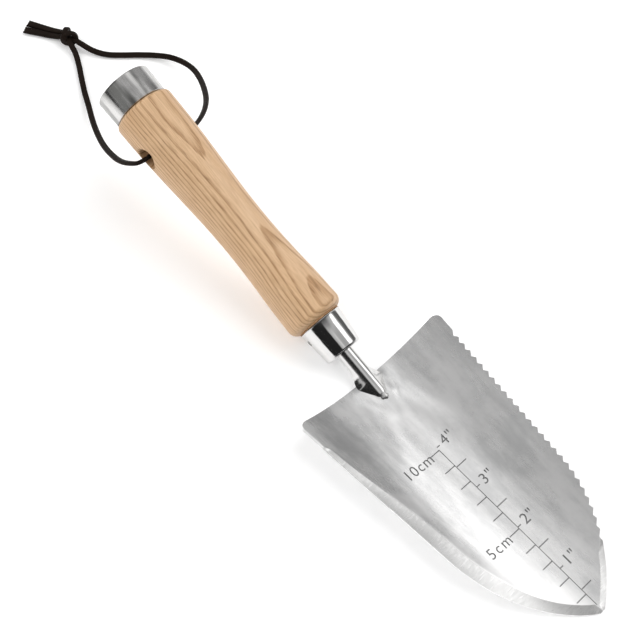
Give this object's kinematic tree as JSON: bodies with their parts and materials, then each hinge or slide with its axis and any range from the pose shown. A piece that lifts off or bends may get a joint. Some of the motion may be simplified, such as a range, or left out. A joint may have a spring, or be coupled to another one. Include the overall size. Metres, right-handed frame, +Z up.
{
  "type": "hand transplanter",
  "caption": "Narrow garden hand trowel with a rolled steel blade, one serrated edge, an engraved depth scale, a turned ash handle and a leather hanging thong",
  "frame": {"origin": "on the surface the tool lies on, under the middle of the tool's box without the thong", "axes": "+Y from the butt towards the blade's tip, +X to the side of the ground bevel, +Z up from the blade's hollow face"},
  "size_m": [0.102, 0.4224, 0.0665],
  "materials": {
    "ash_wood": "oiled ash with darker cathedral grain",
    "brushed_cap_steel": "brushed around the handle",
    "polished_steel": "mirror polished stainless steel",
    "satin_blade_steel": "satin polished stainless steel",
    "dark_leather": "dark brown waxed leather lace"
  },
  "bodies": {
    "trowel": {"handle": "ash_wood", "butt_cap": "brushed_cap_steel", "ferrule": "polished_steel", "ferrule_pin": "polished_steel", "neck_and_tang": "polished_steel", "neck_weld": "polished_steel", "blade": "satin_blade_steel"},
    "thong": {"thong_loop": "dark_leather", "thong_knot": "dark_leather", "thong_tail_right": "dark_leather", "thong_tail_left": "dark_leather"}
  },
  "joints": [
    {"name": "thong_swing", "type": "hinge", "parent": "trowel", "child": "thong", "pos_m": [0, -0.12417, 0.04313], "axis": [-1, 0, 0], "range_deg": [-110, 190]}
  ]
}
